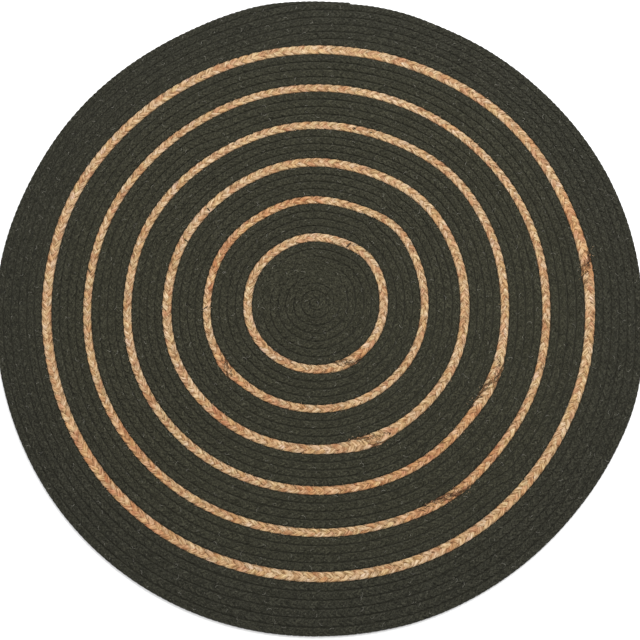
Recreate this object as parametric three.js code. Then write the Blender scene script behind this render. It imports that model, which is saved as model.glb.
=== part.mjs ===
// Round floor rug of flat three-strand plaits, laid edge to edge and sewn into a disc.
// Coils of dark cotton plait alternate with six single rings of jute plait.
// Millimetres, +Z up. The rug lies flat on z = 0 with its middle over the origin.

import * as THREE from 'three';

// Driving dimensions.
const PLAIT_HEIGHT = 8;
const SEAM_HEIGHT = 5.4;
const SEWN_GAP = 0.3;

// A cotton plait's top is full and round: a lower figure makes it flatter.
const COTTON_ROUNDNESS = 0.7;

// A jute plait is looser: its two columns of strands stand either side of a shallow valley.
// The crests lie this share of the width from the plait's middle.
const JUTE_VALLEY = 1;
const JUTE_CREST = 0.25;

// The ends of a jute ring are lapped and stitched, which lifts the plait a little.
const LAP_RISE = 0.8;

// The outermost plait has a round edge: widest at this height, drawn in above and below it.
const EDGE_WIDEST_HEIGHT = 2.9;
const EDGE_DRAWN_IN_ABOVE = 1.2;
const EDGE_DRAWN_IN_BELOW = 1.8;

// Every section has its points at the same angles, so that neighbours follow one line.
const STATIONS = 54;
const FULL_TURN = 360;
const STATION_ANGLE = FULL_TURN / STATIONS;

// The centre coil is a true spiral at its middle. Its last turn steps out over a short stretch.
const COIL_RAMP_MIDDLE = 360;
const COIL_RAMP_LAST = 70;

const YARNS = {
  cotton: { color: 0x3a392f, roughness: 0.95 },
  jute: { color: 0xbf9973, roughness: 0.85 },
};

// The pieces from the centre outwards, each a number of plait rows wide.
// width: of one row, from seam to seam.
// joint: the angle where a jute ring is lapped, or where a cotton coil steps out by one row.
// winds: 1 where the plait is laid counter-clockwise from inside to outside, seen from above.
// facets: strips across one row, from seam to seam.
// lap: degrees that a lap spreads to each side, and how far it pushes the ring's inner line
// inwards and its outer line outwards.
const SECTIONS = [
  { name: 'cotton_centre_coil', yarn: 'cotton', rows: 8, width: 14.8, facets: 3, joint: 225, winds: 1 },
  { name: 'jute_ring_1', yarn: 'jute', rows: 1, width: 16, facets: 4, joint: 296, winds: 1,
    lap: { spread: 13, in: 0, out: 3.5 } },
  { name: 'cotton_band_1', yarn: 'cotton', rows: 4, width: 14.8, facets: 2, joint: 55, winds: 1 },
  { name: 'jute_ring_2', yarn: 'jute', rows: 1, width: 14.5, facets: 4, joint: 217, winds: 1,
    lap: { spread: 7, in: 0, out: 4.5 } },
  { name: 'cotton_band_2', yarn: 'cotton', rows: 4, width: 14.7, facets: 2, joint: 56, winds: 1 },
  { name: 'jute_ring_3', yarn: 'jute', rows: 1, width: 17, facets: 4, joint: 290, winds: 1,
    lap: { spread: 9, in: 3.5, out: 5 } },
  { name: 'cotton_band_3', yarn: 'cotton', rows: 4, width: 14.5, facets: 2, joint: 154, winds: 1 },
  { name: 'jute_ring_4', yarn: 'jute', rows: 1, width: 15.5, facets: 4, joint: 334, winds: 1,
    lap: { spread: 10, in: 2, out: 4 } },
  { name: 'cotton_band_4', yarn: 'cotton', rows: 4, width: 15, facets: 2, joint: 122, winds: 1 },
  { name: 'jute_ring_5', yarn: 'jute', rows: 1, width: 15, facets: 4, joint: 304, winds: 1,
    lap: { spread: 8, in: 0, out: 1.5 } },
  { name: 'cotton_band_5', yarn: 'cotton', rows: 4, width: 15.3, facets: 2, joint: 315, winds: 1 },
  { name: 'jute_ring_6', yarn: 'jute', rows: 1, width: 18, facets: 4, joint: 8, winds: 1,
    lap: { spread: 7, in: 0, out: 3 } },
  { name: 'cotton_rim', yarn: 'cotton', rows: 6, width: 14.7, facets: 2, joint: 93, winds: -1 },
];

// Hand sewing leaves the rings uneven. Each row is one soft swell around an angle: how many
// degrees it spreads to each side, and how far it moves each ring and the rug's edge outwards.
const SWELLS = [
  { at: 0, spread: 16, ring1: -2, ring2: -1, ring3: -1.5, ring4: -2.5, ring5: -2, ring6: 0, edge: 0 },
  { at: 44, spread: 15, ring1: 2.5, ring2: 6, ring3: 3, ring4: 4, ring5: 0, ring6: 4, edge: -2.5 },
  { at: 72, spread: 20, ring1: -2, ring2: -4, ring3: -3.5, ring4: -2.5, ring5: -1.5, ring6: 0.5, edge: 0 },
  { at: 77, spread: 6, ring1: 0, ring2: 0, ring3: 0, ring4: 0, ring5: 0, ring6: 0, edge: 5 },
  { at: 99, spread: 12, ring1: 0, ring2: 0, ring3: 0, ring4: 0, ring5: 0.5, ring6: 1.5, edge: 9 },
  { at: 120, spread: 18, ring1: -1, ring2: -3, ring3: -2.5, ring4: -3.5, ring5: -1.5, ring6: 0, edge: 0 },
  { at: 156, spread: 12, ring1: 1, ring2: 0.5, ring3: 1, ring4: 1.5, ring5: 1.5, ring6: 2.5, edge: -3 },
  { at: 200, spread: 22, ring1: 2, ring2: 4.5, ring3: 3.5, ring4: 2.5, ring5: 1.5, ring6: -2.5, edge: -4.5 },
  { at: 260, spread: 24, ring1: -0.5, ring2: -2, ring3: -2.5, ring4: -3, ring5: -3.5, ring6: -4, edge: 2 },
  { at: 288, spread: 10, ring1: 0, ring2: 0, ring3: 0, ring4: 0, ring5: 0, ring6: 0, edge: 2.5 },
  { at: 304, spread: 15, ring1: -1.5, ring2: 0, ring3: -0.5, ring4: 2.5, ring5: 4.5, ring6: 2, edge: 2 },
  { at: 336, spread: 14, ring1: -1, ring2: 0.5, ring3: 1, ring4: 2, ring5: 2, ring6: 0.5, edge: 4.5 },
  { at: 344, spread: 7, ring1: 0, ring2: 0, ring3: 0, ring4: 0, ring5: 0, ring6: 1, edge: 4 },
];

// Lines between the pieces, each with its distance from the middle and its column of swells.
// Row lines between them follow in proportion.
function linesBetweenPieces() {
  const lines = [{ row: 0, distance: 0, column: 'centre' }];
  let row = 0;
  let distance = 0;
  let rings = 0;
  for (const section of SECTIONS) {
    const isRing = section.yarn === 'jute';
    if (isRing) {
      const { spread } = section.lap;
      rings += 1;
      lines.at(-1).column = `ring${rings}`;
      lines.at(-1).lap = { at: section.joint, spread, push: -section.lap.in };
    }
    row += section.rows;
    distance += section.rows * section.width;
    const line = { row, distance, column: isRing ? `ring${rings}` : 'edge' };
    if (isRing) {
      line.lap = { at: section.joint, spread: section.lap.spread, push: section.lap.out };
    }
    lines.push(line);
  }
  return lines;
}

const LINES = linesBetweenPieces();
const RIM_ROW = LINES.at(-1).row;

// Shortest way round from one angle to another, in degrees.
function angleBetween(from, to) {
  const turn = THREE.MathUtils.euclideanModulo(to - from, FULL_TURN);
  return turn > FULL_TURN / 2 ? turn - FULL_TURN : turn;
}

function bell(angle, centre, spread) {
  return Math.exp(-((angleBetween(centre, angle) / spread) ** 2));
}

function swellOfColumn(column, angle) {
  return SWELLS.reduce((sum, swell) => sum + (swell[column] ?? 0) * bell(angle, swell.at, swell.spread), 0);
}

function distanceOfLine(line, angle) {
  const pushed = line.lap ? line.lap.push * bell(angle, line.lap.at, line.lap.spread) : 0;
  return line.distance + swellOfColumn(line.column, angle) + pushed;
}

// Distance from the coil's middle to a line that lies a number of rows out.
function radiusAt(row, angle) {
  const above = Math.max(1, LINES.findIndex((line) => line.row >= row));
  const inner = LINES[above - 1];
  const outer = LINES[above];
  const share = (row - inner.row) / (outer.row - inner.row);
  return THREE.MathUtils.lerp(distanceOfLine(inner, angle), distanceOfLine(outer, angle), share);
}

// Rise of a plait's top between its seams, 0 in the seam and 1 on the crown.
function cottonCrown(across) {
  return Math.sin(Math.PI * across) ** COTTON_ROUNDNESS;
}

function juteCrown(across) {
  const fromMiddle = Math.abs(across - 0.5);
  if (fromMiddle >= JUTE_CREST) {
    return (0.5 - fromMiddle) / (0.5 - JUTE_CREST);
  }
  const valley = JUTE_VALLEY / (PLAIT_HEIGHT - SEAM_HEIGHT);
  return 1 - valley * (1 - fromMiddle / JUTE_CREST);
}

// Part of a row, from 0 to 1, by which a coil has stepped out at this angle.
function coilStep(section, rowsIn, angle) {
  if (section.yarn === 'jute') {
    return 0;
  }
  if (section.firstRow === 0) {
    const ramp = THREE.MathUtils.lerp(COIL_RAMP_MIDDLE, COIL_RAMP_LAST, rowsIn / section.rows);
    const beforeJoint = THREE.MathUtils.euclideanModulo(section.joint - angle, FULL_TURN);
    return Math.max(0, 1 - beforeJoint / ramp);
  }
  const offJoint = Math.abs(angleBetween(section.joint, angle));
  return offJoint <= STATION_ANGLE / 2 ? 0.5 : 0;
}

// Height of the top at a number of rows in from the section's inner line.
function topHeight(section, rowsIn, angle) {
  const onEdge = rowsIn === section.rows || (rowsIn === 0 && section.firstRow > 0);
  if (onEdge) {
    return SEAM_HEIGHT;
  }
  const inPlait = rowsIn - coilStep(section, rowsIn, angle);
  const across = inPlait - Math.floor(inPlait);
  const rise = PLAIT_HEIGHT - SEAM_HEIGHT;
  if (section.yarn === 'jute') {
    const lap = LAP_RISE * bell(angle, section.joint, section.lap.spread);
    return SEAM_HEIGHT + (rise + lap) * juteCrown(across);
  }
  return SEAM_HEIGHT + rise * cottonCrown(across);
}

// Points of the top from the inner line to the outer one.
function topPoints(section, angle) {
  const count = section.rows * section.facets;
  const points = [];
  for (let line = 0; line <= count; line += 1) {
    const rowsIn = line / section.facets;
    const row = section.firstRow + rowsIn;
    let radius = radiusAt(row, angle);
    if (line === 0 && section.firstRow > 0) {
      radius += SEWN_GAP / 2;
    }
    if (line === count) {
      radius -= row === RIM_ROW ? EDGE_DRAWN_IN_ABOVE : SEWN_GAP / 2;
    }
    points.push({ radius, height: topHeight(section, rowsIn, angle) });
  }
  return points;
}

// Closed cross-section at one angle: the top from inside to outside, then back underneath.
function crossSection(section, angle) {
  const points = topPoints(section, angle);
  const inner = points[0];
  const outer = points.at(-1);
  if (section.firstRow + section.rows === RIM_ROW) {
    const edge = radiusAt(RIM_ROW, angle);
    points.push({ radius: edge, height: EDGE_WIDEST_HEIGHT });
    points.push({ radius: edge - EDGE_DRAWN_IN_BELOW, height: 0 });
  } else {
    points.push({ radius: outer.radius, height: 0 });
  }
  points.push({ radius: inner.radius, height: 0 });
  return points;
}

// Solid swept round the rug through its cross-sections. On the centre coil the first and last
// points of every cross-section lie on the axis, so all stations share those of the first one.
function sweptSolid(section) {
  const sections = [];
  for (let station = 0; station < STATIONS; station += 1) {
    sections.push(crossSection(section, station * STATION_ANGLE));
  }
  const perStation = sections[0].length;
  const hasMiddle = section.firstRow === 0;

  const positions = [];
  for (let station = 0; station < STATIONS; station += 1) {
    const angle = THREE.MathUtils.degToRad(station * STATION_ANGLE);
    for (const { radius, height } of sections[station]) {
      positions.push(radius * Math.cos(angle), radius * Math.sin(angle), height);
    }
  }
  if (hasMiddle) {
    positions[2] = PLAIT_HEIGHT;
  }

  function vertex(point, station) {
    const onAxis = hasMiddle && (point === 0 || point === perStation - 1);
    return onAxis ? point : (station % STATIONS) * perStation + (point % perStation);
  }

  const triangles = [];
  function addTriangle(a, b, c) {
    if (a !== b && b !== c && c !== a) {
      triangles.push(a, b, c);
    }
  }

  // Each patch is split along the way the rows step out, so that a ridge stays one crease.
  const strips = hasMiddle ? perStation - 1 : perStation;
  for (let station = 0; station < STATIONS; station += 1) {
    for (let point = 0; point < strips; point += 1) {
      const a = vertex(point, station);
      const b = vertex(point + 1, station);
      const c = vertex(point + 1, station + 1);
      const d = vertex(point, station + 1);
      if (section.winds > 0) {
        addTriangle(a, b, c);
        addTriangle(a, c, d);
      } else {
        addTriangle(a, b, d);
        addTriangle(b, c, d);
      }
    }
  }

  const geometry = new THREE.BufferGeometry();
  geometry.setAttribute('position', new THREE.Float32BufferAttribute(positions, 3));
  geometry.setIndex(triangles);
  geometry.computeVertexNormals();
  return geometry;
}

function plaitPiece(section) {
  const material = new THREE.MeshStandardMaterial({ ...YARNS[section.yarn], metalness: 0 });
  const piece = new THREE.Mesh(sweptSolid(section), material);
  piece.name = section.name;
  return piece;
}

function roundRug() {
  const rug = new THREE.Group();
  let firstRow = 0;
  for (const section of SECTIONS) {
    rug.add(plaitPiece({ ...section, firstRow }));
    firstRow += section.rows;
  }
  const middle = new THREE.Box3().setFromObject(rug).getCenter(new THREE.Vector3());
  rug.position.set(-middle.x, -middle.y, 0);
  return rug;
}

const rug = roundRug();

export default rug;
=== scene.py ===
import math
from collections import Counter

import bpy
import numpy as np
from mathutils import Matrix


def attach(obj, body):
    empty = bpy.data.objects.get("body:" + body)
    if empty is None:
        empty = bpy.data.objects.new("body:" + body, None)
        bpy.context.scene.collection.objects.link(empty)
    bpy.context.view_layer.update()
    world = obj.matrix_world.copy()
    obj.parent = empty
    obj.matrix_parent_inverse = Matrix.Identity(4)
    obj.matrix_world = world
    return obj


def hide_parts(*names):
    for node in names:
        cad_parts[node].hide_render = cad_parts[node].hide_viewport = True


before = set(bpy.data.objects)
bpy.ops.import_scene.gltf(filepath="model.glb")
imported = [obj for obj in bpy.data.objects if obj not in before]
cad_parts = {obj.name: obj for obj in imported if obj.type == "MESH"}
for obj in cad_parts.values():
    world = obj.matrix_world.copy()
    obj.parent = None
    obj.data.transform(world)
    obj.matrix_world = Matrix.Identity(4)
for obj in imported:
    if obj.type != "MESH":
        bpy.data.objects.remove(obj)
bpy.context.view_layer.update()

# A round rug of flat three-strand plaits, sewn edge to edge: dark cotton coils with six rings
# of jute. Metres, +Z up, in the CAD's frame: the rug lies flat on z = 0.
MM = 0.001
scene = bpy.context.scene

# The pieces from the middle outwards, each a number of plait rows wide.
# joint: where a jute ring is lapped or a cotton coil steps out by one row, in degrees.
# over: the degrees that the lap or the step is spread over.
# winds: 1 where the plait is laid counter-clockwise from inside to outside, seen from above.
# laced: lines of close stitches, at the lap and where a cotton plait's end is sewn on beside the
# ring. ties_and_slit_shade: where thread is pulled across a jute plait, and where dark thread is
# laid in a slit between strands as painted shade. Both are lists of lines of points, each point
# an angle and a share of the way from the ring's inner to its outer edge.
# warm: stretches of orange-brown jute, in degrees.
COIL = "cotton_centre_coil"
SECTIONS = [
    dict(name=COIL, yarn="cotton", rows=8, joint=225, over=70, winds=1),
    dict(name="jute_ring_1", yarn="jute", rows=1, joint=296, over=25, winds=1,
         laced=[[(284, 0.0), (290, 0.22), (296, 0.45), (301, 0.7), (307, 1.0)],
                [(61, 0.05), (66, 0.14), (78, 0.06)]],
         ties_and_slit_shade=[[(62.2, 0.1), (60.6, 1.0)]],
         warm=[(300, 324)]),
    dict(name="cotton_band_1", yarn="cotton", rows=4, joint=55, over=16, winds=1),
    dict(name="jute_ring_2", yarn="jute", rows=1, joint=217, over=12, winds=1,
         laced=[[(212, 0.15), (214, 0.4), (220, 0.48), (223, 0.8)], [(53, 0.02), (72, 0.02)]],
         # The tie at 182 to 184 degrees is dark thread laid in a slit between two strands: painted
         # shade.
         ties_and_slit_shade=[[(182.1, 0.35), (183.5, 1.0)]], warm=[(84, 184), (204, 254)]),
    dict(name="cotton_band_2", yarn="cotton", rows=4, joint=56, over=11, winds=1),
    dict(name="jute_ring_3", yarn="jute", rows=1, joint=290, over=14, winds=1,
         laced=[[(281, 0.03), (286, 0.12), (291, 0.28), (295, 0.4), (299, 0.55)]],
         ties_and_slit_shade=[[(138.6, 0.0), (138.3, 0.6)], [(153.9, 0.05), (153.8, 0.5)]],
         warm=[(222, 248)]),
    dict(name="cotton_band_3", yarn="cotton", rows=4, joint=154, over=10, winds=1),
    dict(name="jute_ring_4", yarn="jute", rows=1, joint=334, over=17, winds=1,
         laced=[[(324, 0.03), (330, 0.12), (333, 0.3), (335, 0.5), (338, 0.65), (343, 0.5)]],
         ties_and_slit_shade=[[(78.6, 0.38), (77.9, 0.62)], [(73, 0.45), (72.6, 0.6)]],
         warm=[(262, 330)]),
    dict(name="cotton_band_4", yarn="cotton", rows=4, joint=122, over=14, winds=1),
    dict(name="jute_ring_5", yarn="jute", rows=1, joint=304, over=13, winds=1,
         laced=[[(296, 0.1), (299, 0.35), (302, 0.3), (305, 0.55), (309, 0.85)]],
         # The tie at 171 to 172 degrees is dark thread laid in a deep crevice between two strands:
         # painted shade.
         ties_and_slit_shade=[[(172.1, 0.55), (171.0, 1.0)]], warm=[(205, 235), (288, 328)]),
    dict(name="cotton_band_5", yarn="cotton", rows=4, joint=315, over=8, winds=1),
    dict(name="jute_ring_6", yarn="jute", rows=1, joint=8, over=7, winds=1,
         laced=[[(3, 0.05), (5, 0.3), (7, 0.5), (8.5, 0.85), (11, 0.9)]],
         ties_and_slit_shade=[], warm=[(0, 28), (204, 244)]),
    dict(name="cotton_rim", yarn="cotton", rows=6, joint=96, over=24, winds=-1),
]

# Each plait is three strands that swing from side to side while they climb over each other.
# cycle: the length in which a strand comes back to where it was. rise: up and down.
# swing, strand_width: sideways to each side, and across a strand, as shares of the row's width.
# roll: slope of a strand's top where it crosses another. plump: how much fuller a strand is on
# its crown. scallop: how far the edge draws in between two strands. twist: turns of the yarn in
# one cycle. hurry, uneven: how far the hand that made it was off in step and in shape.
STRANDS = 3
PLAITS = {
    "cotton": dict(cycle=35.7 * MM, swing=0.38, rise=0.7 * MM, strand_width=0.62,
                   strand_thickness=5.4 * MM, roll=-0.14, plump=0.04, scallop=0.0, twist=0.4,
                   hurry=0.15, uneven=0.35, steps=10, arc_points=4),
    "jute": dict(cycle=54.3 * MM, swing=0.52, rise=0.95 * MM, strand_width=0.74,
                 strand_thickness=5.0 * MM, roll=-0.1, plump=0.04, scallop=0.22, twist=0.3,
                 hurry=0.14, uneven=0.4, steps=20, arc_points=6),
}

# The hand's unevenness: waves in one cycle of the plait, and how far they reach. Seed steps
# keep the plaits, the strands and their waves from being alike.
HURRY_WAVES = 0.6
LEAN_WAVES = 1.7
LEAN_REACH = 0.8 * MM
FULLNESS_WAVES = 2.1
FULLNESS_REACH = 0.35
PLAIT_SEED_STEP = 10.0
STRAND_SEED_STEP = 5.7
FULLNESS_SEED_STEP = 3.3
WAVE_SEED_STEP = 7.31

# A strand's form. It is fullest at one place in its cycle, and keeps a share of its size at a
# tapered end. A smaller shoulder power makes its section squarer, and a smaller crown power the
# tops of the strands that it crosses. Its underside is so deep, as a share of half its
# thickness, and starts so far below its middle. A higher press power leaves a sharper edge.
FULLEST_AT = 0.3 * math.pi
TAPERED_SHARE = 0.4
SHOULDER_POWER = 0.5
CROWN_POWER = 0.25
UNDERSIDE_DEPTH = 1.25
UNDERSIDE_STARTS = 0.5 * MM
PRESS_POWER = 6

# Rows. The middle of a plait is this high above the floor. It reaches at most half a height
# more above that, and at most to the floor below. row gap: what is left between two rows, less
# than nothing where they are pressed into each other.
MIDDLE_HEIGHT = 4.2 * MM
HALF_HEIGHT = 3.6 * MM
ROW_GAP = dict(cotton=-0.1 * MM, jute=-0.6 * MM)

# Paths round the rug, in degrees. The solids' edges are read at even stations. The coil starts
# part of a turn out, and in its middle it is a true spiral, which takes a whole turn to step out
# by a row. Warm jute fades in over a few degrees. A plait's end is blunt, with a share of a row.
FULL_TURN = 360
PATH_STEP = 1.0
COIL_RAMP_MIDDLE = 360
WARM_FADE = 6
STATIONS = 54
MIDDLE_DECIMALS = 5
COIL_STARTS_AT = 0.5
BLUNT_END = 0.3

# Sewing thread. stitch: from one turn of the zigzag to the next. reach: sideways to each side.
# steps: points between two of a line's own. A smaller tie power pulls it flatter over the jute.
SEAM = dict(stitch=8 * MM, reach=0.3 * MM, height=4.1 * MM, thickness=3.2 * MM, uneven=0.0)
EDGE_STITCHES = dict(stitch=2.1 * MM, reach=1.8 * MM, height=6.9 * MM, thickness=1.0 * MM,
                     uneven=0.8)
LACING = dict(stitch=3.4 * MM, reach=2.4 * MM, height=7.2 * MM, thickness=1.0 * MM, uneven=0.8)
LACING_STEPS = 4
# Thread of the ties. Where it lies in a slit between strands it is painted shade.
TIE = dict(stitch=1.5 * MM, reach=0.0, height=0.0, thickness=1.3 * MM, uneven=0.0)
TIE_TURNS = 2
TIE_SPACING = 1.0 * MM
TIE_STEPS = 8
TIE_POWER = 0.2
THREAD_SIDES = 3

# Loose fibres and short stitches, each a thin bent thread that lies near a path.
# near, far: how far to the side of the path its root is. turn: how far it may turn from
# pointing straight away from the path, in degrees. lift: how steeply it may rise. The shortest
# and longest are shares of the length.
HAIRS = dict(spacing=5 * MM, near=0.30, far=0.48, turn=80, lift=20, low=5.0 * MM, high=7.2 * MM,
             length=3.6 * MM, bend=0.3, thickness=0.25 * MM)
LINT = dict(spacing=85 * MM, near=0.0, far=0.45, turn=180, lift=4, low=7.2 * MM, high=7.7 * MM,
            length=7 * MM, bend=0.5, thickness=0.35 * MM)
LAP_STITCHES = dict(spacing=2.0 * MM, near=0.0, far=0.28, turn=90, lift=3, low=6.9 * MM,
                    high=7.5 * MM, length=1.4 * MM, bend=0.1, thickness=1.2 * MM)
LOOSE_STEPS = 3
SHORTEST = 0.5
LONGEST = 1.3

# Looks. A pattern is its waves in a metre and its detail. A pattern of fibres has one number
# before them: its waves along the fibres, as a share of those across. A range is a low and a
# high value of a pattern, and what they become.
# fine, coarse: two patterns of fibres, mixed with fine_share of the first. streak: how much
# darker and lighter they make the yarn. tint: its colours, by the value of a slower pattern.
# painted_low_shade, painted_crossing_shade: painted shade, which darkens the yarn low in the plait
# and along the lines where strands cross.
# lobe, bundle: jute's slower patterns, mixed with lobe_share of the first. lobe_strand_step: how
# far apart the strands are in them. red_power, blue_power: the dark fibre lines and the painted
# shade take less red and more blue. warm, rust, yellow: what each adds to red, green and blue.
# warm_tone: what warm adds to the slower patterns.
JUTE = dict(
    fine=(0.05, 2200.0, 3.0), coarse=(0.3, 430.0, 2.0), fine_share=0.3,
    streak=(0.36, 0.64, 0.25, 1.75), painted_low_shade=(0.1, 0.4, 0.85, 1.0),
    painted_crossing_shade=(0.0, 0.6 * MM, 0.32, 1.0), roughness=(0.3, 0.7, 0.72, 0.5),
    bump=0.8, bump_height=1.0 * MM, shine=0.35, sheen=0.12,
    lobe=(45.0, 1.0), lobe_strand_step=0.37, bundle=(0.25, 300.0, 1.0), lobe_share=0.75,
    tint=[(0.30, (0.275, 0.122, 0.044)), (0.38, (0.295, 0.150, 0.061)),
          (0.48, (0.330, 0.196, 0.087)), (0.56, (0.357, 0.235, 0.115)),
          (0.62, (0.366, 0.250, 0.135)), (0.70, (0.370, 0.229, 0.132))],
    red_power=0.77, blue_power=1.42, warm_tone=-0.05, warm=(0.02, -0.05, -0.13),
    rust_pattern=(62.0, 1.0), rust_range=(0.48, 0.64), rust=(0.0, -0.09, -0.09),
    rust_where_plain=0.4, rust_more_where_warm=0.6,
    yellow_pattern=(34.0, 3.0), yellow_range=(0.35, 0.65, -1.0, 1.0), yellow=(0.0, 0.0, -0.12))

# patch: cotton's slower pattern. fuzz: matted fibres. fleck: small pale bits. worn: how the
# colour changes towards the rim, between two distances from the rug's middle, in metres.
COTTON = dict(
    fine=(0.12, 1700.0, 2.0), coarse=(0.2, 430.0, 1.0), fine_share=0.4,
    # painted_low_shade: painted shade, a little darker low in the plait.
    streak=(0.36, 0.64, 0.55, 1.45), painted_low_shade=(0.0, 0.3, 0.97, 1.0),
    roughness=(0.3, 0.7, 0.98, 0.88),
    bump=0.9, bump_height=1.2 * MM, shine=0.10, sheen=0.02,
    patch=(0.3, 160.0, 1.0),
    tint=[(0.30, (0.0239, 0.0233, 0.0147)), (0.50, (0.0256, 0.0250, 0.0160)),
          (0.70, (0.0273, 0.0267, 0.0176))],
    fuzz=(480.0, 2.0), fuzz_range=(0.35, 0.65, 0.42, 1.58),
    worn_range=(0.44, 0.56), worn=[(0.0, (1.0, 1.0, 1.0)), (1.0, (0.87, 0.88, 0.96))],
    fleck=(420.0, 1.0), fleck_range=(0.70, 0.80), fleck_colour=(0.13, 0.125, 0.10, 1.0))

# Colour and shine of each plain thread, and how all of them vary.
THREADS = dict(sewing_thread=((0.026, 0.025, 0.017), 0.1), jute_fibre=((0.80, 0.55, 0.33), 0.35),
               cotton_lint=((0.30, 0.29, 0.25), 0.1))
THREAD_PATCH = (300.0, 1.0)
THREAD_RANGE = (0.3, 0.7, 0.7, 1.25)
THREAD_ROUGHNESS = 0.8

# The photograph's camera: its lens in millimetres, its place from the coil's middle, to the
# right, towards the viewer and up, and its turns in degrees.
CAMERA = dict(lens=76.05, right=0.079, towards=0.605, height=2.430, turns=(13.27, 1.66, 0.19))

# The studio: a pale floor just under the rug, a large soft light and a white surround.
FLOOR_REACH = 30.0
FLOOR_DROP = 0.2 * MM
FLOOR_COLOUR = (0.9, 0.9, 0.9, 1.0)
FLOOR_SHINE = 0.1
FLOOR_GRAIN = (3.0, 2.0)
FLOOR_ROUGHNESS = (0.3, 0.7, 0.85, 0.95)
SOFTBOX = dict(side=3.0, power=119.0, place=(0.8, 1.6, 2.75), turns=(-30, 16, 0))
SURROUND_COLOUR = (1.0, 1.0, 1.0, 1.0)
SURROUND_STRENGTH = 1.0

UP = (0.0, 0.0, 1.0)


class Nodes:
    """Adds nodes to a tree. An input is given a socket, which is linked, or a plain value."""

    def __init__(self, tree):
        self.tree = tree

    def fill(self, socket, value):
        if isinstance(value, bpy.types.NodeSocket):
            self.tree.links.new(value, socket)
        else:
            socket.default_value = value

    def add(self, kind, inputs=None, **settings):
        node = self.tree.nodes.new(kind)
        for name, value in settings.items():
            setattr(node, name, value)
        for name, value in (inputs or {}).items():
            self.fill(node.inputs[name], value)
        return node

    def math(self, operation, *values):
        return self.add("ShaderNodeMath", dict(enumerate(values)), operation=operation).outputs[0]

    def vector(self, x=0.0, y=0.0, z=0.0):
        return self.add("ShaderNodeCombineXYZ", {"X": x, "Y": y, "Z": z}).outputs[0]

    def parts(self, vector):
        return self.add("ShaderNodeSeparateXYZ", {"Vector": vector}).outputs

    def vector_math(self, operation, *values):
        inputs = dict(enumerate(values))
        return self.add("ShaderNodeVectorMath", inputs, operation=operation).outputs[0]

    def scaled(self, vector, factor):
        inputs = {0: vector, "Scale": factor}
        return self.add("ShaderNodeVectorMath", inputs, operation="SCALE").outputs[0]

    def measured(self, operation, *vectors):
        """A single number got from vectors, such as a length."""
        inputs = dict(enumerate(vectors))
        return self.add("ShaderNodeVectorMath", inputs, operation=operation).outputs["Value"]

    def position(self):
        return self.add("GeometryNodeInputPosition").outputs[0]

    def sideways(self, tangent=None):
        """Level direction across a path."""
        if tangent is None:
            tangent = self.add("GeometryNodeInputTangent").outputs[0]
        return self.vector_math("CROSS_PRODUCT", tangent, UP)

    def named(self, name, data_type="FLOAT"):
        node = self.add("GeometryNodeInputNamedAttribute", {"Name": name}, data_type=data_type)
        return node.outputs["Attribute"]

    def store(self, geometry, name, value, data_type="FLOAT"):
        inputs = {"Geometry": geometry, "Name": name, "Value": value}
        kind = "GeometryNodeStoreNamedAttribute"
        return self.add(kind, inputs, data_type=data_type, domain="POINT").outputs[0]

    def even_path(self, guide, step):
        """A guide mesh as a curve with a point at each step."""
        curve = self.add("GeometryNodeMeshToCurve", {"Mesh": guide}).outputs[0]
        inputs = {"Curve": curve, "Length": step}
        return self.add("GeometryNodeResampleCurve", inputs, mode="LENGTH").outputs[0]

    def moved(self, geometry, offset):
        inputs = {"Geometry": geometry, "Offset": offset}
        return self.add("GeometryNodeSetPosition", inputs).outputs[0]

    def thread(self, curve, thickness):
        """A curve as a thread with closed ends."""
        inputs = {"Resolution": THREAD_SIDES, "Radius": self.math("MULTIPLY", thickness, 0.5)}
        section = self.add("GeometryNodeCurvePrimitiveCircle", inputs, mode="RADIUS").outputs[0]
        inputs = {"Curve": curve, "Profile Curve": section, "Fill Caps": True}
        return self.add("GeometryNodeCurveToMesh", inputs).outputs[0]

    def finished(self, mesh, material):
        """A smooth mesh, made real, in its material."""
        smooth = self.add("GeometryNodeSetShadeSmooth", {"Geometry": mesh}).outputs[0]
        real = self.add("GeometryNodeRealizeInstances", {"Geometry": smooth}).outputs[0]
        inputs = {"Geometry": real, "Material": material}
        return self.add("GeometryNodeSetMaterial", inputs).outputs[0]

    def pressed(self, value, limit):
        """A value that levels off smoothly towards a limit on both sides."""
        share = self.math("ABSOLUTE", self.math("DIVIDE", value, limit))
        bulk = self.math("ADD", self.math("POWER", share, PRESS_POWER), 1.0)
        return self.math("DIVIDE", value, self.math("POWER", bulk, 1 / PRESS_POWER))

    def chance(self, low, high, seed):
        """A random value for each point."""
        node = self.add("FunctionNodeRandomValue", {2: low, 3: high, "Seed": seed},
                        data_type="FLOAT")
        return node.outputs[1]

    def wave(self, place, seed):
        """Smooth chance along a line, from -1 to 1. Each seed has a stretch of its own."""
        shifted = self.math("ADD", place, self.math("MULTIPLY", seed, WAVE_SEED_STEP))
        noise = self.add("ShaderNodeTexNoise", {"W": shifted, "Scale": 1.0, "Detail": 1.0},
                         noise_dimensions="1D").outputs[0]
        return self.math("MULTIPLY_ADD", noise, 2.0, -1.0)


def geometry_tree(name, sizes):
    """New Geometry Nodes tree with one named input for each size."""
    tree = bpy.data.node_groups.new(name, "GeometryNodeTree")
    geometry = "NodeSocketGeometry"
    tree.interface.new_socket("Geometry", in_out="INPUT", socket_type=geometry)
    for label, kind in sizes.items():
        tree.interface.new_socket(label, in_out="INPUT", socket_type="NodeSocket" + kind)
    tree.interface.new_socket("Geometry", in_out="OUTPUT", socket_type=geometry)
    nodes = Nodes(tree)
    return nodes, nodes.add("NodeGroupInput").outputs, nodes.add("NodeGroupOutput").inputs


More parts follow.
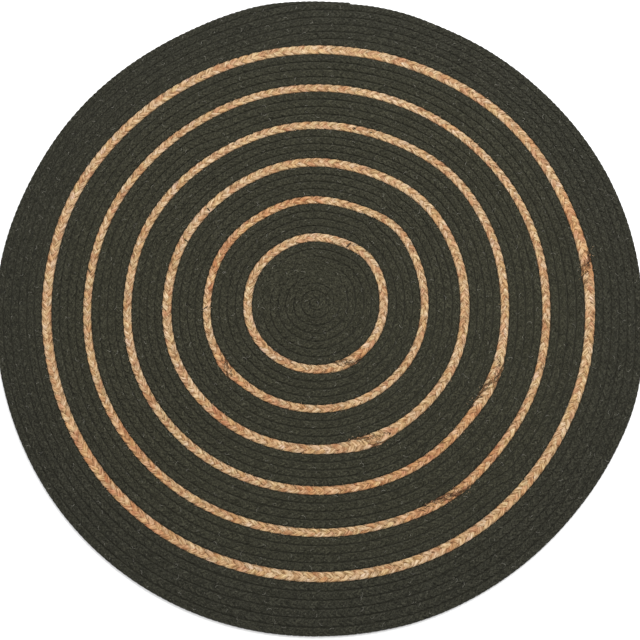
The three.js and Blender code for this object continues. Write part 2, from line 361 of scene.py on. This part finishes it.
def grow(name, mesh, tree, sizes):
    """Runs a tree on a guide mesh. The result is a plain mesh piece of its own."""
    guide = bpy.data.objects.new(name + "_guide", mesh)
    scene.collection.objects.link(guide)
    modifier = guide.modifiers.new("grow", "NODES")
    modifier.node_group = tree
    for item in tree.interface.items_tree:
        if item.in_out == "INPUT" and item.name in sizes:
            modifier[item.identifier] = sizes[item.name]
    depsgraph = bpy.context.evaluated_depsgraph_get()
    grown = bpy.data.meshes.new_from_object(
        guide.evaluated_get(depsgraph), preserve_all_data_layers=True, depsgraph=depsgraph)
    bpy.data.objects.remove(guide)
    piece = bpy.data.objects.new(name, grown)
    scene.collection.objects.link(piece)
    return piece


def strand_lines(nodes, sizes):
    """The lines that three strands follow round a path. Each point keeps what the later steps
    read: its way along, strand, phase, fullness, direction sideways and place on the path."""
    math_ = nodes.math
    path = nodes.even_path(sizes["Geometry"], math_("DIVIDE", sizes["Cycle"], sizes["Steps"]))
    strands = nodes.add("GeometryNodeDuplicateElements",
                        {"Geometry": path, "Amount": STRANDS}, domain="SPLINE").outputs
    strand = strands["Duplicate Index"]

    # Where each strand is in its cycle, in radians.
    along = nodes.add("GeometryNodeSplineParameter").outputs["Length"]
    cycles = math_("DIVIDE", along, sizes["Cycle"])
    hurry = nodes.wave(math_("MULTIPLY", cycles, HURRY_WAVES), sizes["Seed"])
    share_of_cycle = math_("ADD", math_("ADD", cycles, math_("DIVIDE", strand, float(STRANDS))),
                           math_("MULTIPLY", hurry, sizes["Hurry"]))
    phase = math_("MULTIPLY", share_of_cycle, math.tau)

    # Each strand's own unevenness changes about as often as its crowns come.
    own = math_("MULTIPLY_ADD", strand, STRAND_SEED_STEP, sizes["Seed"])
    lean = math_("MULTIPLY", nodes.wave(math_("MULTIPLY", cycles, LEAN_WAVES), own),
                 sizes["Uneven"])
    fullness = nodes.wave(math_("MULTIPLY", cycles, FULLNESS_WAVES),
                          math_("ADD", own, FULLNESS_SEED_STEP))

    held = nodes.store(strands[0], "along", along)
    held = nodes.store(held, "strand", math_("ADD", strand, sizes["Seed"]))
    held = nodes.store(held, "phase", phase)
    held = nodes.store(held, "fullness", math_("MULTIPLY", fullness, sizes["Uneven"]))
    sideways = nodes.sideways()
    held = nodes.store(held, "sideways", sideways, "FLOAT_VECTOR")
    held = nodes.store(held, "middle", nodes.position(), "FLOAT_VECTOR")

    swing = math_("MULTIPLY", sizes["Swing"], nodes.named("share"))
    side = math_("ADD", math_("MULTIPLY", math_("COSINE", phase), swing),
                 math_("MULTIPLY", lean, LEAN_REACH))
    climb = math_("MULTIPLY", math_("SINE", math_("MULTIPLY", phase, 2.0)), sizes["Rise"])
    height = math_("ADD", climb, sizes["Middle Height"])
    return nodes.moved(held, nodes.vector_math("ADD", nodes.scaled(sideways, side),
                                               nodes.vector(z=height)))


def strand_section(nodes, sizes):
    """A strand's section: an arc above, and its centre point lowered to make the underside. A
    level curve's normal points down, so both half sizes are negative, which turns the section
    half round. Its attribute named round is each point's place in it, with +Y down."""
    math_ = nodes.math
    arc = nodes.add("GeometryNodeCurveArc", {
        "Resolution": sizes["Arc Points"], "Radius": 1.0, "Start Angle": 0.0,
        "Sweep Angle": math.pi, "Connect Center": True}, mode="RADIUS").outputs[0]
    parts = nodes.parts(nodes.position())
    # The arc's centre is its last point.
    index = nodes.add("GeometryNodeInputIndex").outputs[0]
    is_centre = math_("COMPARE", index, sizes["Arc Points"], 0.5)
    squarer = math_("POWER", math_("MAXIMUM", parts["Y"], 0.0), SHOULDER_POWER)
    form = nodes.vector(parts["X"], math_("MULTIPLY_ADD", is_centre, -UNDERSIDE_DEPTH, squarer))
    half_size = nodes.vector(math_("MULTIPLY", sizes["Strand Width"], -0.5),
                             math_("MULTIPLY", sizes["Strand Thickness"], -0.5), 1.0)
    inputs = {"Geometry": arc, "Position": nodes.vector_math("MULTIPLY", form, half_size)}
    section = nodes.add("GeometryNodeSetPosition", inputs).outputs[0]
    return nodes.store(section, "round", nodes.position(), "FLOAT_VECTOR")


def strand_bodies(nodes, sizes, lines, section):
    """The section swept along the strands' lines. It rolls at crossings and swells at crowns."""
    math_ = nodes.math
    phase = nodes.named("phase")
    level = nodes.add("GeometryNodeSetCurveNormal", {"Curve": lines}, mode="Z_UP").outputs[0]
    roll = math_("ARCTANGENT", math_("MULTIPLY", math_("SINE", phase), sizes["Roll"]))
    rolled = nodes.add("GeometryNodeSetCurveTilt", {"Curve": level, "Tilt": roll}).outputs[0]
    crown = math_("COSINE", math_("MULTIPLY", math_("SUBTRACT", phase, FULLEST_AT), 2.0))
    fuller = math_("MULTIPLY_ADD", crown, sizes["Plump"], 1.0)
    fuller = math_("MULTIPLY_ADD", nodes.named("fullness"), FULLNESS_REACH, fuller)
    tapered = math_("MULTIPLY_ADD", nodes.named("share"), 1.0 - TAPERED_SHARE, TAPERED_SHARE)
    return nodes.add("GeometryNodeCurveToMesh", {
        "Curve": rolled, "Profile Curve": section, "Scale": math_("MULTIPLY", fuller, tapered),
        "Fill Caps": True}).outputs[0]


def off_the_path(nodes, sizes):
    """How far a point of the surface is to the side of the plait's middle, and above it."""
    off = nodes.vector_math("SUBTRACT", nodes.position(), nodes.named("middle", "FLOAT_VECTOR"))
    aside = nodes.measured("DOT_PRODUCT", off, nodes.named("sideways", "FLOAT_VECTOR"))
    return aside, nodes.math("SUBTRACT", nodes.parts(off)["Z"], sizes["Middle Height"])


def squeeze(nodes, sizes, aside, lift):
    """The way a point of the surface is pressed. The rows press each other's sides straight,
    the top is pressed flat, and the underside down to the floor."""
    math_ = nodes.math
    from_edge = math_("SUBTRACT", math_("ABSOLUTE", math_("COSINE", nodes.named("phase"))), 1.0)
    drawn_in = math_("MULTIPLY_ADD", from_edge, sizes["Scallop"], 1.0)
    side_limit = math_("MULTIPLY", sizes["Half Width"],
                       math_("MULTIPLY", nodes.named("share"), drawn_in))
    inwards = math_("SUBTRACT", nodes.pressed(aside, side_limit), aside)
    to_floor = math_("SUBTRACT", sizes["Middle Height"], sizes["Half Height"])
    height_limit = math_("MULTIPLY_ADD", math_("LESS_THAN", lift, 0.0), to_floor,
                         sizes["Half Height"])
    down = math_("SUBTRACT", nodes.pressed(lift, height_limit), lift)
    sideways = nodes.named("sideways", "FLOAT_VECTOR")
    return nodes.vector_math("ADD", nodes.vector(z=down), nodes.scaled(sideways, inwards))


def above_the_others(nodes, sizes, aside, lift):
    """How far a point of the surface stands above the other two strands, which is least where
    they meet. The underside is left out by being counted as high."""
    math_ = nodes.math
    above = HALF_HEIGHT
    for strands_ahead in range(1, STRANDS):
        other = math_("ADD", nodes.named("phase"), strands_ahead * math.tau / STRANDS)
        centre = math_("MULTIPLY", math_("COSINE", other),
                       math_("MULTIPLY", sizes["Swing"], nodes.named("share")))
        across = math_("DIVIDE", math_("SUBTRACT", aside, centre),
                       math_("MULTIPLY", sizes["Strand Width"], 0.5))
        covered = math_("MAXIMUM", math_("SUBTRACT", 1.0, math_("MULTIPLY", across, across)), 0.0)
        top = math_("ADD", math_("MULTIPLY", math_("POWER", covered, CROWN_POWER),
                                 math_("MULTIPLY", sizes["Strand Thickness"], 0.5)),
                    math_("MULTIPLY", math_("SINE", math_("MULTIPLY", other, 2.0)), sizes["Rise"]))
        above = math_("MINIMUM", above, math_("SUBTRACT", lift, top))
    down_in_section = nodes.parts(nodes.named("round", "FLOAT_VECTOR"))["Y"]
    is_under = math_("GREATER_THAN", down_in_section, UNDERSIDE_STARTS)
    return math_("MULTIPLY_ADD", is_under, MIDDLE_HEIGHT, above)


def place_in_fibres(nodes, sizes):
    """Place in the strand. Fibres run along it and turn slowly round it."""
    turned = nodes.math("MULTIPLY", nodes.math("DIVIDE", nodes.named("along"), sizes["Cycle"]),
                        nodes.math("MULTIPLY", sizes["Twist"], math.tau))
    inputs = {"Vector": nodes.named("round", "FLOAT_VECTOR"), "Angle": turned}
    across = nodes.add("ShaderNodeVectorRotate", inputs, rotation_type="Z_AXIS").outputs[0]
    return nodes.vector_math("ADD", across, nodes.vector(z=nodes.named("along")))


def plait_tree():
    """Three strands that plait round a path. The path's share attribute narrows its ends. The
    plait keeps what its material reads: strand, warm, above, fibre and height."""
    nodes, sizes, result = geometry_tree("three_strand_plait", {
        "Cycle": "Float", "Steps": "Int", "Swing": "Float", "Rise": "Float",
        "Strand Width": "Float", "Strand Thickness": "Float", "Arc Points": "Int",
        "Roll": "Float", "Plump": "Float", "Scallop": "Float", "Twist": "Float",
        "Hurry": "Float", "Uneven": "Float", "Middle Height": "Float", "Half Height": "Float",
        "Half Width": "Float", "Seed": "Float", "Yarn": "Material"})
    plait = strand_bodies(nodes, sizes, strand_lines(nodes, sizes), strand_section(nodes, sizes))
    aside, lift = off_the_path(nodes, sizes)
    # above and height are read by the yarns to paint shade along crossings and low in the plait.
    plait = nodes.store(plait, "above", above_the_others(nodes, sizes, aside, lift))
    plait = nodes.moved(plait, squeeze(nodes, sizes, aside, lift))
    plait = nodes.store(plait, "fibre", place_in_fibres(nodes, sizes), "FLOAT_VECTOR")
    from_middle = nodes.math("SUBTRACT", nodes.parts(nodes.position())["Z"],
                             sizes["Middle Height"])
    plait = nodes.store(plait, "height", nodes.math("DIVIDE", from_middle, sizes["Half Height"]))
    for name in ("along", "phase", "fullness", "share", "round", "sideways", "middle"):
        inputs = {"Geometry": plait, "Name": name}
        plait = nodes.add("GeometryNodeRemoveAttribute", inputs).outputs[0]
    nodes.fill(result["Geometry"], nodes.finished(plait, sizes["Yarn"]))
    return nodes.tree


def seam_tree():
    """Sewing thread that zigzags along a path."""
    nodes, sizes, result = geometry_tree("zigzag_seam", {
        "Stitch": "Float", "Reach": "Float", "Height": "Float", "Thickness": "Float",
        "Uneven": "Float", "Seed": "Int", "Thread": "Material"})
    math_ = nodes.math
    path = nodes.even_path(sizes["Geometry"], sizes["Stitch"])
    index = nodes.add("GeometryNodeInputIndex").outputs[0]
    side = math_("MULTIPLY_ADD", math_("MODULO", index, 2.0), 2.0, -1.0)
    chance = nodes.chance(-1.0, 1.0, sizes["Seed"])
    side = math_("MULTIPLY", side, math_("MULTIPLY_ADD", chance, sizes["Uneven"], 1.0))
    across = nodes.scaled(nodes.sideways(), math_("MULTIPLY", side, sizes["Reach"]))
    zigzag = nodes.moved(path, nodes.vector_math("ADD", across, nodes.vector(z=sizes["Height"])))
    thread = nodes.thread(zigzag, sizes["Thickness"])
    nodes.fill(result["Geometry"], nodes.finished(thread, sizes["Thread"]))
    return nodes.tree


def loose_thread_tree():
    """Thin bent threads, rooted here and there beside a path."""
    nodes, sizes, result = geometry_tree("loose_threads", {
        "Spacing": "Float", "Near": "Float", "Far": "Float", "Turn": "Float", "Lift": "Float",
        "Low": "Float", "High": "Float", "Length": "Float", "Bend": "Float",
        "Thickness": "Float", "Seed": "Int", "Thread": "Material"})
    math_ = nodes.math

    def chance(number, low, high):
        """A random value for each root. Each use has a number of its own."""
        return nodes.chance(low, high, math_("ADD", sizes["Seed"], float(number)))

    # Roots, to either side of the path.
    path = nodes.add("GeometryNodeMeshToCurve", {"Mesh": sizes["Geometry"]}).outputs[0]
    roots = nodes.add("GeometryNodeCurveToPoints", {"Curve": path, "Length": sizes["Spacing"]},
                      mode="LENGTH").outputs
    sideways = nodes.sideways(roots["Tangent"])
    side = math_("SIGN", chance(1, -1.0, 1.0))
    distance = chance(2, sizes["Near"], sizes["Far"])
    height = chance(3, sizes["Low"], sizes["High"])
    off = nodes.vector_math("ADD", nodes.vector(z=height),
                            nodes.scaled(sideways, math_("MULTIPLY", side, distance)))
    placed = nodes.moved(roots["Points"], off)

    # One bent thread, turned away from the path by chance.
    away = nodes.parts(nodes.scaled(sideways, side))
    turn = chance(4, math_("MULTIPLY", sizes["Turn"], -1.0), sizes["Turn"])
    heading = math_("ADD", math_("ARCTAN2", away["Y"], away["X"]), turn)
    bend = math_("MULTIPLY", sizes["Length"], sizes["Bend"])
    thread = nodes.add("GeometryNodeCurveQuadraticBezier", {
        "Resolution": LOOSE_STEPS, "Start": (0.0, 0.0, 0.0),
        "Middle": nodes.vector(math_("MULTIPLY", sizes["Length"], 0.5), bend, 0.0),
        "End": nodes.vector(sizes["Length"], 0.0, 0.0)}).outputs[0]
    rise = math_("MULTIPLY", chance(5, 0.0, 1.0), sizes["Lift"])
    flip = math_("SIGN", chance(6, -1.0, 1.0))
    size = chance(7, SHORTEST, LONGEST)
    grown = nodes.add("GeometryNodeInstanceOnPoints", {
        "Points": placed, "Instance": thread,
        "Rotation": nodes.vector(0.0, math_("MULTIPLY", rise, -1.0), heading),
        "Scale": nodes.vector(size, math_("MULTIPLY", size, flip), 1.0)}).outputs[0]
    real = nodes.add("GeometryNodeRealizeInstances", {"Geometry": grown}).outputs[0]
    threads = nodes.thread(real, sizes["Thickness"])
    nodes.fill(result["Geometry"], nodes.finished(threads, sizes["Thread"]))
    return nodes.tree


def vertex_places(node):
    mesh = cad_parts[node].data
    places = np.empty(len(mesh.vertices) * 3)
    mesh.vertices.foreach_get("co", places)
    return places.reshape(-1, 3)


def coil_middle():
    """The coil's middle, which is where most triangles of the centre coil's solid meet."""
    places = vertex_places(COIL).round(MIDDLE_DECIMALS)
    meeting = Counter(map(tuple, places[:, :2].tolist()))
    return np.array(max(meeting, key=meeting.get))


def edge_lines(node, middle):
    """Distance of a solid's inner and outer edge from the coil's middle, at each station."""
    off = vertex_places(node)[:, :2] - middle
    distance = np.hypot(off[:, 0], off[:, 1])
    angle = np.degrees(np.arctan2(off[:, 1], off[:, 0])) % FULL_TURN
    station = np.round(angle / FULL_TURN * STATIONS).astype(int) % STATIONS
    inner = np.array([distance[station == at].min() for at in range(STATIONS)])
    outer = np.array([distance[station == at].max() for at in range(STATIONS)])
    return (inner * 0 if node == COIL else inner), outer


def on_line(line, angle):
    """Smooth value between stations, with a curve through the four nearest."""
    at = angle / FULL_TURN * STATIONS
    before = math.floor(at)
    t = at - before
    a, b, c, d = (line[(before + i) % STATIONS] for i in (-1, 0, 1, 2))
    return b + 0.5 * t * (c - a + t * (2 * a - 5 * b + 4 * c - d + t * (3 * (b - c) + d - a)))


def rows_laid(section, travelled):
    """How many rows out the plait's outer side is, after a number of degrees from the start."""
    turn = math.floor(travelled / FULL_TURN)
    into_turn = travelled - turn * FULL_TURN
    if section["name"] == COIL:
        share = turn / section["rows"]
        over = COIL_RAMP_MIDDLE + (section["over"] - COIL_RAMP_MIDDLE) * share
        return turn + max(0.0, 1 - (FULL_TURN - into_turn) / over)
    t = min(1.0, into_turn / section["over"])
    return turn + t * t * (3 - 2 * t)


def row_here(section, angle):
    """Distance of the section's inner edge at an angle, and how wide one row is there."""
    inner, outer = section["edges"]
    near = on_line(inner, angle)
    return near, (on_line(outer, angle) - near) / section["rows"]


def place_at(section, middle, angle, rows_out):
    """Place in plan at an angle, a number of rows out from the section's inner edge."""
    near, row = row_here(section, angle)
    distance = near + row * rows_out
    turn = math.radians(angle)
    return middle[0] + distance * math.cos(turn), middle[1] + distance * math.sin(turn), 0.0


def warmth(section, angle):
    """1 in the middle of a stretch of orange-brown jute, 0 outside."""
    most = 0.0
    for start, end in section.get("warm", []):
        inside = min(angle % FULL_TURN - start, end - angle % FULL_TURN)
        most = max(most, min(1.0, max(0.0, inside / WARM_FADE)))
    return most


def plait_paths(section, middle):
    """The plait's middle line and its inner and outer edges, with the plait's share of the mean
    row width and the jute's warmth at each point."""
    rows, over, winds = section["rows"], section["over"], section["winds"]
    mean_row = sum(row_here(section, angle)[1] for angle in range(FULL_TURN)) / FULL_TURN
    is_coil = section["name"] == COIL
    start, end = 0, rows * FULL_TURN + over
    joint = section["joint"] - winds * over / 2
    if is_coil:
        start, end = COIL_STARTS_AT * FULL_TURN, (rows + 1) * FULL_TURN
        joint = section["joint"]
    paths = dict(middle=[], inner=[], outer=[], share=[], warm=[])
    count = round((end - start) / PATH_STEP)
    for i in range(count + 1):
        travelled = start + (end - start) * i / count
        laid = rows_laid(section, travelled)
        low = max(0.0, laid - 1)
        high = min(rows, laid)
        angle = joint + winds * travelled
        paths["middle"].append(place_at(section, middle, angle, (low + high) / 2))
        paths["outer"].append(place_at(section, middle, angle, high))
        paths["share"].append(max(high - low, BLUNT_END) * row_here(section, angle)[1] / mean_row)
        paths["warm"].append(warmth(section, angle))
        # The coil has no inner edge in its middle, and a jute ring none on top of its lap.
        has_inner = low > 0 if is_coil else low == 0 or rows > 1
        if has_inner:
            paths["inner"].append(place_at(section, middle, angle, low))
    return paths


def line_across(section, middle, points, steps):
    """Even steps along a line of points, each an angle and a share of the section's rows. Each
    step has its place and its share."""
    line = []
    for (angle, share), (next_angle, next_share) in zip(points, points[1:]):
        for step in range(steps):
            t = step / steps
            line.append((angle + (next_angle - angle) * t, share + (next_share - share) * t))
    line.append(points[-1])
    return [(place_at(section, middle, angle, share), share) for angle, share in line]


def lacing_lines(section, middle):
    """The lines of close stitches. The first is the one at the lap."""
    return [[place for place, share in line_across(section, middle, points, LACING_STEPS)]
            for points in section["laced"]]


def tie_lines(section, middle):
    """Turns of thread pulled over a jute plait, side by side, some of them dark thread laid in a
    slit between strands as painted shade. They bend down at its edges.
    """
    lines = []
    for points in section["ties_and_slit_shade"]:
        distance = math.dist(place_at(section, middle, points[0][0], 0.5), (*middle, 0.0))
        for turn in range(TIE_TURNS):
            off = (turn - (TIE_TURNS - 1) / 2) * math.degrees(TIE_SPACING / distance)
            moved = [(angle + off, share) for angle, share in points]
            lines.append([
                (x, y, MIDDLE_HEIGHT + HALF_HEIGHT * math.sin(math.pi * share) ** TIE_POWER)
                for (x, y, z), share in line_across(section, middle, moved, TIE_STEPS)])
    return lines


def guide_mesh(name, lines, **values):
    """One or more polylines as a mesh, with a value at each point for each name given."""
    places, links = [], []
    for line in lines:
        first = len(places)
        places += line
        links += [(i, i + 1) for i in range(first, len(places) - 1)]
    mesh = bpy.data.meshes.new(name)
    mesh.from_pydata(places, links, [])
    for label, at_points in values.items():
        mesh.attributes.new(label, "FLOAT", "POINT").data.foreach_set("value", at_points)
    return mesh


def ramp(nodes, value, stops):
    """Colours between stops, each a place from 0 to 1 and a colour."""
    node = nodes.add("ShaderNodeValToRGB", {"Fac": value})
    while len(node.color_ramp.elements) < len(stops):
        node.color_ramp.elements.new(0.5)
    for element, (place, colour) in zip(node.color_ramp.elements, stops):
        element.position = place
        element.color = (*colour, 1.0)
    return node.outputs["Color"]


def mapped(nodes, value, low, high, to_low=0.0, to_high=1.0):
    """A pattern's value from low to high, turned into one from to_low to to_high."""
    return nodes.add("ShaderNodeMapRange", {
        "Value": value, "From Min": low, "From Max": high,
        "To Min": to_low, "To Max": to_high}).outputs[0]


def noise(nodes, place, waves, detail):
    inputs = {"Vector": place, "Scale": waves, "Detail": detail}
    return nodes.add("ShaderNodeTexNoise", inputs, noise_dimensions="3D").outputs[0]


def blended(nodes, first, second, share_of_first):
    return nodes.math("ADD", nodes.math("MULTIPLY", first, share_of_first),
                      nodes.math("MULTIPLY", second, 1 - share_of_first))


def attribute(nodes, name, output="Fac"):
    return nodes.add("ShaderNodeAttribute", attribute_name=name).outputs[output]


def object_place(nodes):
    return nodes.add("ShaderNodeTexCoord").outputs["Object"]


def new_material(name):
    material = bpy.data.materials.new(name)
    material.use_nodes = True
    nodes = Nodes(material.node_tree)
    shader = next(n for n in material.node_tree.nodes if n.type == "BSDF_PRINCIPLED")
    return material, nodes, shader


def along_fibres(nodes, stretch, waves, detail):
    """A pattern of long fibres, each strand with its own."""
    stretched = nodes.vector_math("MULTIPLY", attribute(nodes, "fibre", "Vector"),
                                  (1.0, 1.0, stretch))
    place = nodes.vector_math("ADD", stretched, nodes.vector(z=attribute(nodes, "strand")))
    return noise(nodes, place, waves, detail)


def yarn_material(name, look):
    """A yarn's surface of fibres. The fibres' pattern is given back, to colour them."""
    material, nodes, shader = new_material(name)
    lines = blended(nodes, along_fibres(nodes, *look["fine"]),
                    along_fibres(nodes, *look["coarse"]), look["fine_share"])
    nodes.fill(shader.inputs["Roughness"], mapped(nodes, lines, *look["roughness"]))
    bump = nodes.add("ShaderNodeBump", {
        "Height": lines, "Strength": look["bump"], "Distance": look["bump_height"]})
    nodes.fill(shader.inputs["Normal"], bump.outputs[0])
    shader.inputs["Specular IOR Level"].default_value = look["shine"]
    shader.inputs["Sheen Weight"].default_value = look["sheen"]
    return material, nodes, shader, lines


def jute_yarn():
    """Natural jute: long shiny fibres, with lobes from cream to orange brown. height is 0
    half-way up the plait and close to 1 on its highest crowns. above is the height above the
    other two strands, which is 0 on the line where the strand crosses one of them. Both set a
    painted shade: darker low in the plait and along those lines."""
    material, nodes, shader, lines = yarn_material("jute_yarn", JUTE)
    warm = attribute(nodes, "warm")
    parts = nodes.parts(attribute(nodes, "fibre", "Vector"))
    strand = nodes.math("MULTIPLY", attribute(nodes, "strand"), JUTE["lobe_strand_step"])
    lobe_place = nodes.vector(parts["X"], strand, parts["Z"])

    tone = blended(nodes, noise(nodes, lobe_place, *JUTE["lobe"]),
                   along_fibres(nodes, *JUTE["bundle"]), JUTE["lobe_share"])
    tint = ramp(nodes, nodes.math("MULTIPLY_ADD", warm, JUTE["warm_tone"], tone), JUTE["tint"])
    rust = mapped(nodes, noise(nodes, lobe_place, *JUTE["rust_pattern"]), *JUTE["rust_range"])
    rust = nodes.math("MULTIPLY", rust, nodes.math(
        "MULTIPLY_ADD", warm, JUTE["rust_more_where_warm"], JUTE["rust_where_plain"]))
    yellow = mapped(nodes, noise(nodes, lobe_place, *JUTE["yellow_pattern"]),
                    *JUTE["yellow_range"])
    change = (1.0, 1.0, 1.0)
    for amount, colour in ((rust, "rust"), (warm, "warm"), (yellow, "yellow")):
        change = nodes.vector_math("MULTIPLY_ADD", JUTE[colour], amount, change)
    tint = nodes.vector_math("MULTIPLY", tint, change)

    # Painted shade: darker low in the plait and along the lines where strands cross.
    darker = nodes.math("MULTIPLY", mapped(nodes, attribute(nodes, "height"), *JUTE["painted_low_shade"]),
                        mapped(nodes, attribute(nodes, "above"), *JUTE["painted_crossing_shade"]))
    shade = nodes.math("MULTIPLY", mapped(nodes, lines, *JUTE["streak"]), darker)
    # The fibre lines and the painted shade turn redder as they darken.
    warmer = nodes.vector(nodes.math("POWER", shade, JUTE["red_power"]), shade,
                          nodes.math("POWER", shade, JUTE["blue_power"]))
    nodes.fill(shader.inputs["Base Color"], nodes.vector_math("MULTIPLY", tint, warmer))
    return material


def cotton_yarn():
    """Dark olive-charcoal cotton: matt, with spun fibres and small pale flecks, and a little
    painted shade low in the plait.
    """
    material, nodes, shader, lines = yarn_material("cotton_yarn", COTTON)
    place = object_place(nodes)
    tint = ramp(nodes, along_fibres(nodes, *COTTON["patch"]), COTTON["tint"])
    fuzz = mapped(nodes, noise(nodes, place, *COTTON["fuzz"]), *COTTON["fuzz_range"])
    # Fibre streaks, with painted shade a little darker low in the plait.
    shade = nodes.math("MULTIPLY", mapped(nodes, lines, *COTTON["streak"]),
                       mapped(nodes, attribute(nodes, "height"), *COTTON["painted_low_shade"]))
    shaded = nodes.scaled(nodes.scaled(tint, shade), fuzz)
    from_middle = mapped(nodes, nodes.measured("LENGTH", place), *COTTON["worn_range"])
    shaded = nodes.vector_math("MULTIPLY", shaded, ramp(nodes, from_middle, COTTON["worn"]))

    is_fleck = mapped(nodes, noise(nodes, place, *COTTON["fleck"]), *COTTON["fleck_range"])
    mixed = nodes.add("ShaderNodeMix", {0: is_fleck, 6: shaded, 7: COTTON["fleck_colour"]},
                      data_type="RGBA")
    nodes.fill(shader.inputs["Base Color"], mixed.outputs[2])
    return material


def plain_thread(name, colour, shine):
    """Thread or single fibres of one colour, a little lighter and darker from place to place."""
    material, nodes, shader = new_material(name)
    patch = mapped(nodes, noise(nodes, object_place(nodes), *THREAD_PATCH), *THREAD_RANGE)
    nodes.fill(shader.inputs["Base Color"], nodes.scaled(colour, patch))
    shader.inputs["Roughness"].default_value = THREAD_ROUGHNESS
    shader.inputs["Specular IOR Level"].default_value = shine
    return material


def photo_camera(middle):
    """Camera at the photograph's viewing angle: above the rug's near side, looking down."""
    data = bpy.data.cameras.new("camera")
    data.lens = CAMERA["lens"]
    camera = bpy.data.objects.new("camera", data)
    camera.location = (middle[0] + CAMERA["right"], middle[1] - CAMERA["towards"],
                       CAMERA["height"])
    camera.rotation_euler = [math.radians(turn) for turn in CAMERA["turns"]]
    scene.collection.objects.link(camera)
    scene.camera = camera


def lay_floor():
    mesh = bpy.data.meshes.new("floor")
    corners = [(-1, -1), (1, -1), (1, 1), (-1, 1)]
    mesh.from_pydata([(x * FLOOR_REACH, y * FLOOR_REACH, -FLOOR_DROP) for x, y in corners],
                     [], [(0, 1, 2, 3)])
    floor = bpy.data.objects.new("floor", mesh)
    scene.collection.objects.link(floor)
    material, nodes, shader = new_material("floor_paint")
    grain = noise(nodes, object_place(nodes), *FLOOR_GRAIN)
    nodes.fill(shader.inputs["Roughness"], mapped(nodes, grain, *FLOOR_ROUGHNESS))
    shader.inputs["Base Color"].default_value = FLOOR_COLOUR
    shader.inputs["Specular IOR Level"].default_value = FLOOR_SHINE
    mesh.materials.append(material)


def light_studio():
    """One large soft light overhead and an even white surround."""
    light = bpy.data.lights.new("softbox", "AREA")
    light.shape = "RECTANGLE"
    light.size = SOFTBOX["side"]
    light.size_y = SOFTBOX["side"]
    light.energy = SOFTBOX["power"]
    softbox = bpy.data.objects.new("softbox", light)
    softbox.location = SOFTBOX["place"]
    softbox.rotation_euler = [math.radians(turn) for turn in SOFTBOX["turns"]]
    scene.collection.objects.link(softbox)

    world = bpy.data.worlds.new("surround")
    world.use_nodes = True
    background = world.node_tree.nodes["Background"]
    background.inputs["Color"].default_value = SURROUND_COLOUR
    background.inputs["Strength"].default_value = SURROUND_STRENGTH
    scene.world = world
    scene.view_settings.view_transform = "Standard"


def add_piece(name, mesh, tree, sizes):
    """A finished piece. The sizes' names are those of the tree's inputs."""
    piece = grow(name, mesh, tree, {label.replace("_", " ").title(): value
                                    for label, value in sizes.items()})
    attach(piece, "root")
    return piece


def spread_over(row_width, loose_sizes):
    """Sizes of loose threads, with shares of a row turned into lengths, and degrees into
    radians."""
    sizes = dict(loose_sizes)
    for label in ("near", "far"):
        sizes[label] *= row_width
    for label in ("turn", "lift"):
        sizes[label] = math.radians(sizes[label])
    return sizes


middle = coil_middle()
photo_camera(middle)
lay_floor()
light_studio()

yarns = {"cotton": cotton_yarn(), "jute": jute_yarn()}
threads = {name: plain_thread(name, colour, shine) for name, (colour, shine) in THREADS.items()}
plaiting = plait_tree()
sewing = seam_tree()
loose = loose_thread_tree()

for number, section in enumerate(SECTIONS):
    name, yarn = section["name"], section["yarn"]
    section["edges"] = edge_lines(name, middle)
    inner, outer = section["edges"]
    row_width = float((outer - inner).mean()) / section["rows"]
    sizes = dict(PLAITS[yarn], middle_height=MIDDLE_HEIGHT, half_height=HALF_HEIGHT,
                 half_width=(row_width - ROW_GAP[yarn]) / 2,
                 seed=number * PLAIT_SEED_STEP + 1, yarn=yarns[yarn])
    for label in ("swing", "strand_width"):
        sizes[label] *= row_width
    paths = plait_paths(section, middle)
    guide = guide_mesh(name + "_line", [paths["middle"]], share=paths["share"], warm=paths["warm"])
    piece = add_piece(name + "_plait", guide, plaiting, sizes)
    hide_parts(name)

    sewn = dict(seed=number, thread=threads["sewing_thread"])
    add_piece(name + "_seam", guide_mesh(name + "_seam_line", [paths["inner"]]), sewing,
              dict(SEAM, **sewn))
    middle_line = guide_mesh(name + "_middle", [paths["middle"]])
    if yarn == "cotton":
        sizes = dict(spread_over(row_width, LINT), seed=number, thread=threads["cotton_lint"])
        add_piece(name + "_lint", middle_line, loose, sizes)
        continue
    sizes = dict(spread_over(row_width, HAIRS), seed=number, thread=threads["jute_fibre"])
    add_piece(name + "_hairs", middle_line, loose, sizes)
    edges = guide_mesh(name + "_edges", [paths["inner"], paths["outer"]])
    add_piece(name + "_edge_stitches", edges, sewing, dict(EDGE_STITCHES, **sewn))
    laced = lacing_lines(section, middle)
    add_piece(name + "_lap_stitches", guide_mesh(name + "_lap", laced[:1]), loose,
              dict(spread_over(row_width, LAP_STITCHES), **sewn))
    add_piece(name + "_lacing", guide_mesh(name + "_laced", laced), sewing,
              dict(LACING, **sewn))
    # Dark thread over the jute, some of it laid in slits as painted shade.
    if section["ties_and_slit_shade"]:
        add_piece(name + "_ties", guide_mesh(name + "_tie_lines", tie_lines(section, middle)),
                  sewing, dict(TIE, **sewn))
